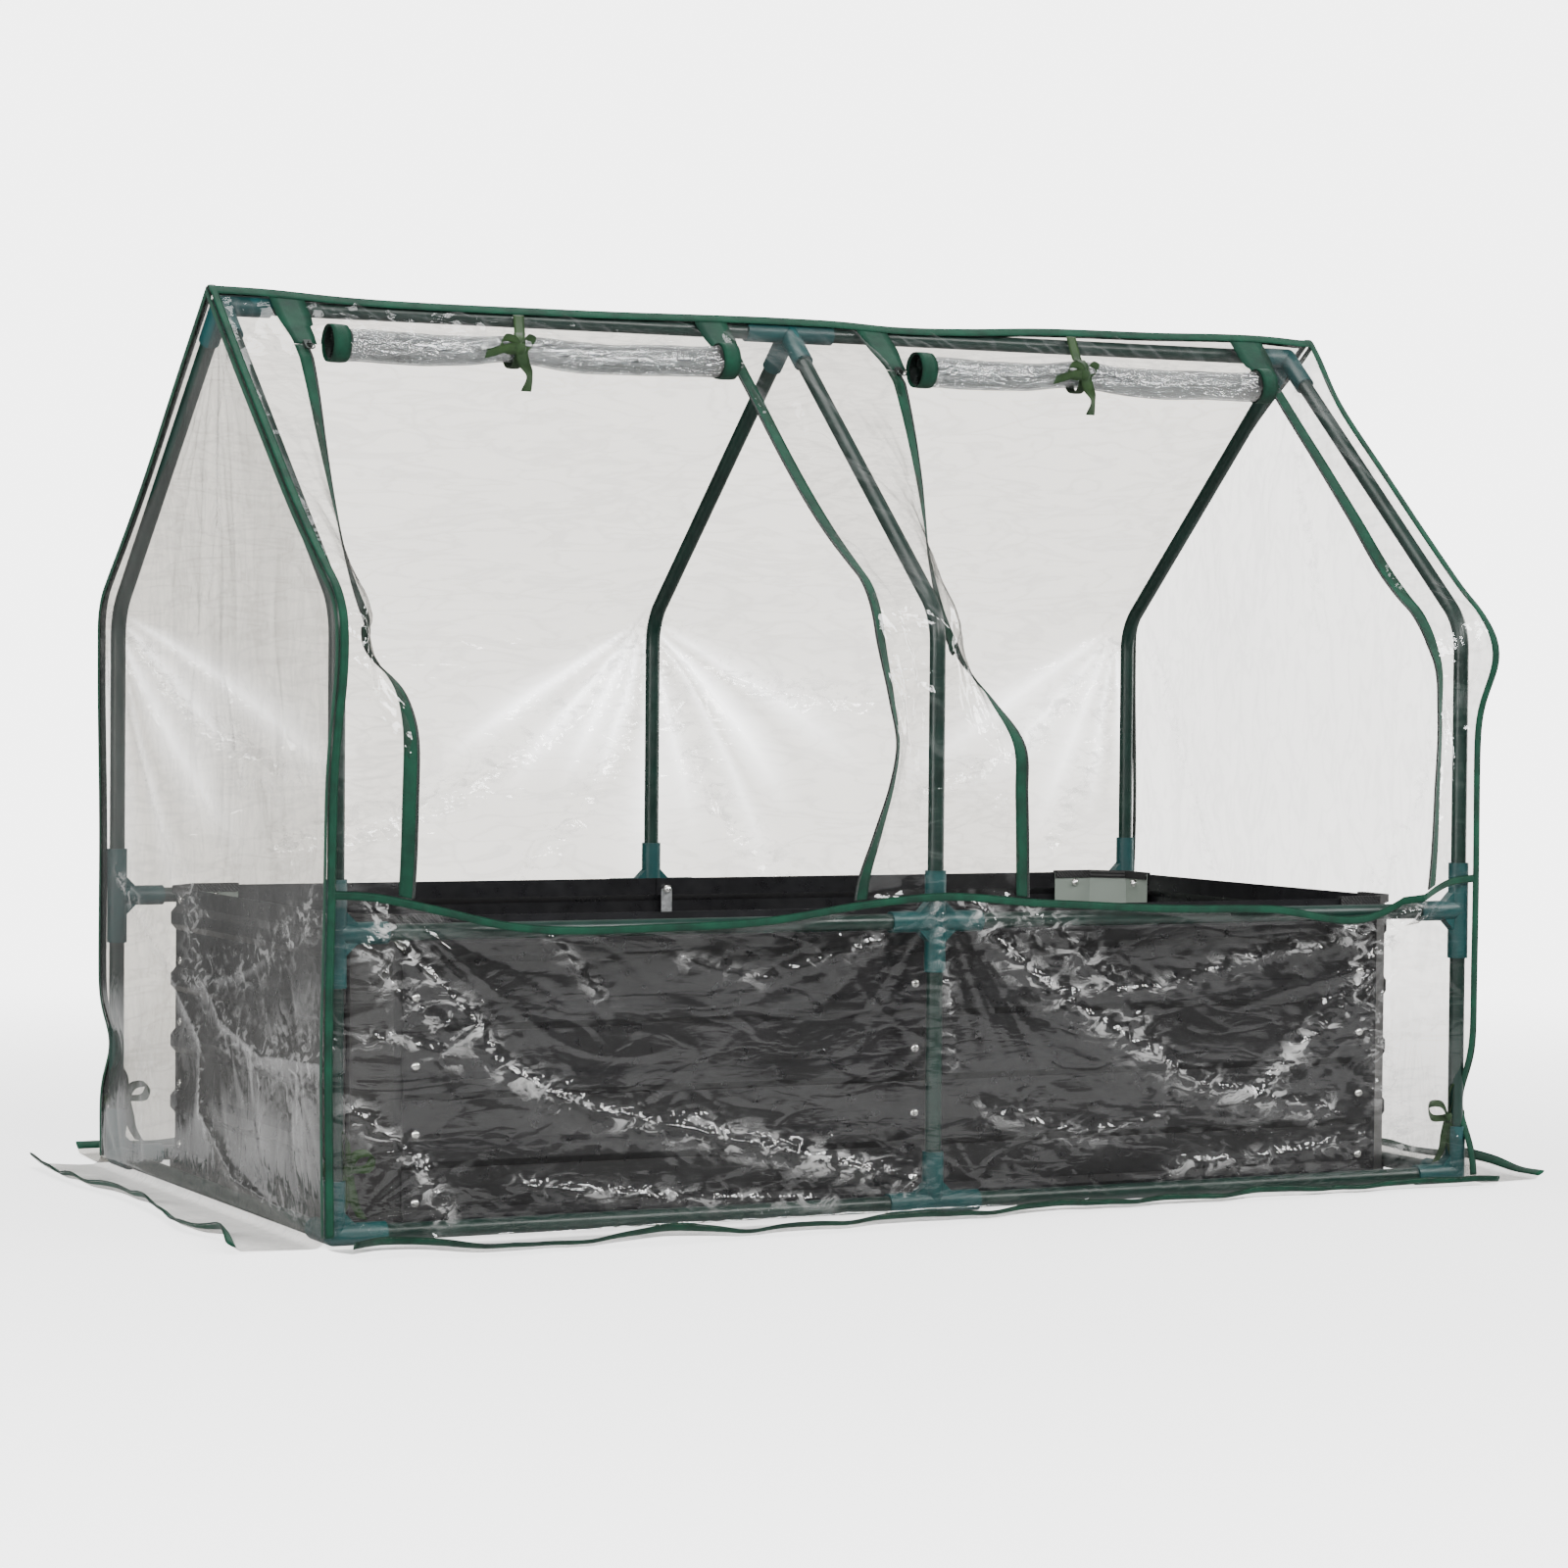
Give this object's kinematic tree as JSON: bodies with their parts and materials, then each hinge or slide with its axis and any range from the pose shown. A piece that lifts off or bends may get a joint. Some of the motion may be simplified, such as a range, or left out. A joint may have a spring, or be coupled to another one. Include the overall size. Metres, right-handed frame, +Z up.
{
  "type": "cold frame",
  "caption": "Corrugated metal raised bed inside a low tube-framed greenhouse with a clear film cover, zipped front doors rolled up under the ridge.",
  "frame": {"origin": "middle of the footprint, on the floor", "axes": "+X along the length to the right, +Y to the back, +Z up; the doors are on the -Y side"},
  "size_m": [1.458, 0.888, 0.911],
  "materials": {
    "frame_paint": "smooth semi-gloss dark green paint",
    "socket_plastic": "moulded teal plastic with a fine grain",
    "bed_paint": "glossy charcoal-black coating",
    "corner_paint": "glossy charcoal-black coating outside, light grey-green inside",
    "guard_rubber": "matt black rubber with fine ribs",
    "galvanised": "galvanised spangle",
    "bright_metal": "bright plate",
    "film": "clear film with creases and bright streaks",
    "rolled_film": "many turns of clear film",
    "binding": "woven green tape",
    "ribbon": "woven olive ribbon",
    "zip_tape": "green tape with a black coil"
  },
  "bodies": {
    "bed": {"bed_panel_front_left": "bed_paint", "bed_panel_front_right": "bed_paint", "bed_panel_back_left": "bed_paint", "bed_panel_back_right": "bed_paint", "bed_panel_left_end": "bed_paint", "bed_panel_right_end": "bed_paint", "bed_corner_front_left": "corner_paint", "bed_corner_front_right": "corner_paint", "bed_corner_back_left": "corner_paint", "bed_corner_back_right": "corner_paint", "corner_edge_guards": "guard_rubber", "joint_straps": "galvanised", "bed_screws": "bright_metal", "bed_cap_nuts": "bright_metal"},
    "greenhouse": {"arch_tube_front_left": "frame_paint", "arch_tube_front_middle": "frame_paint", "arch_tube_front_right": "frame_paint", "arch_tube_back_left": "frame_paint", "arch_tube_back_middle": "frame_paint", "arch_tube_back_right": "frame_paint", "lower_posts": "frame_paint", "ridge_tubes": "frame_paint", "mid_rails": "frame_paint", "bottom_rails_long": "frame_paint", "bottom_rails_end": "frame_paint", "ridge_end_connectors": "socket_plastic", "ridge_connector_middle": "socket_plastic", "mid_tee_connectors": "socket_plastic", "mid_cross_connectors": "socket_plastic", "bottom_corner_connectors": "socket_plastic", "bottom_tee_connectors": "socket_plastic", "cover_film_left_end": "film", "cover_film_right_end": "film", "cover_film_back": "film", "cover_film_front_lower": "film", "cover_flap_left": "film", "cover_flap_middle": "film", "cover_flap_right": "film", "cover_film_front_top": "film", "binding_ridge": "binding", "binding_left_end": "binding", "binding_right_end": "binding", "binding_waist": "binding", "binding_hem": "binding", "zipper_tapes_left_door": "zip_tape", "zipper_tapes_right_door": "zip_tape", "zip_top_tabs": "binding", "corner_ties": "ribbon"},
    "door_left": {"door_roll_left": "rolled_film", "roll_tie_left": "ribbon"},
    "door_right": {"door_roll_right": "rolled_film", "roll_tie_right": "ribbon"},
    "slider_1": {"zipper_slider_1": "bright_metal"},
    "pull_1": {"zipper_pull_1": "bright_metal"},
    "slider_2": {"zipper_slider_2": "bright_metal"},
    "pull_2": {"zipper_pull_2": "bright_metal"},
    "slider_3": {"zipper_slider_3": "bright_metal"},
    "pull_3": {"zipper_pull_3": "bright_metal"},
    "slider_4": {"zipper_slider_4": "bright_metal"},
    "pull_4": {"zipper_pull_4": "bright_metal"}
  },
  "joints": [
    {"name": "greenhouse_lift", "type": "slide", "parent": "bed", "child": "greenhouse", "axis": [0, 0, 1], "range_m": [0, 0.35]},
    {"name": "door_left_lift", "type": "hinge", "parent": "greenhouse", "child": "door_left", "pos_m": [0, -0.066, 0.85027], "axis": [-1, 0, 0], "range_deg": [0, 50]},
    {"name": "door_right_lift", "type": "hinge", "parent": "greenhouse", "child": "door_right", "pos_m": [0, -0.066, 0.85027], "axis": [-1, 0, 0], "range_deg": [0, 50]},
    {"name": "slider_1_slide", "type": "slide", "parent": "greenhouse", "child": "slider_1", "axis": [0, -0.7487, -0.6629], "range_m": [0, 0.3]},
    {"name": "pull_1_swing", "type": "hinge", "parent": "slider_1", "child": "pull_1", "pos_m": [-0.56, -0.07615, 0.8505], "axis": [-1, 0, 0], "range_deg": [0, 120]},
    {"name": "slider_2_slide", "type": "slide", "parent": "greenhouse", "child": "slider_2", "axis": [0, -0.7487, -0.6629], "range_m": [0, 0.3]},
    {"name": "pull_2_swing", "type": "hinge", "parent": "slider_2", "child": "pull_2", "pos_m": [-0.095, -0.07615, 0.8505], "axis": [-1, 0, 0], "range_deg": [0, 120]},
    {"name": "slider_3_slide", "type": "slide", "parent": "greenhouse", "child": "slider_3", "axis": [0, -0.7487, -0.6629], "range_m": [0, 0.3]},
    {"name": "pull_3_swing", "type": "hinge", "parent": "slider_3", "child": "pull_3", "pos_m": [0.56, -0.07615, 0.8505], "axis": [-1, 0, 0], "range_deg": [0, 120]},
    {"name": "slider_4_slide", "type": "slide", "parent": "greenhouse", "child": "slider_4", "axis": [0, -0.7487, -0.6629], "range_m": [0, 0.3]},
    {"name": "pull_4_swing", "type": "hinge", "parent": "slider_4", "child": "pull_4", "pos_m": [0.095, -0.07615, 0.8505], "axis": [-1, 0, 0], "range_deg": [0, 120]}
  ]
}
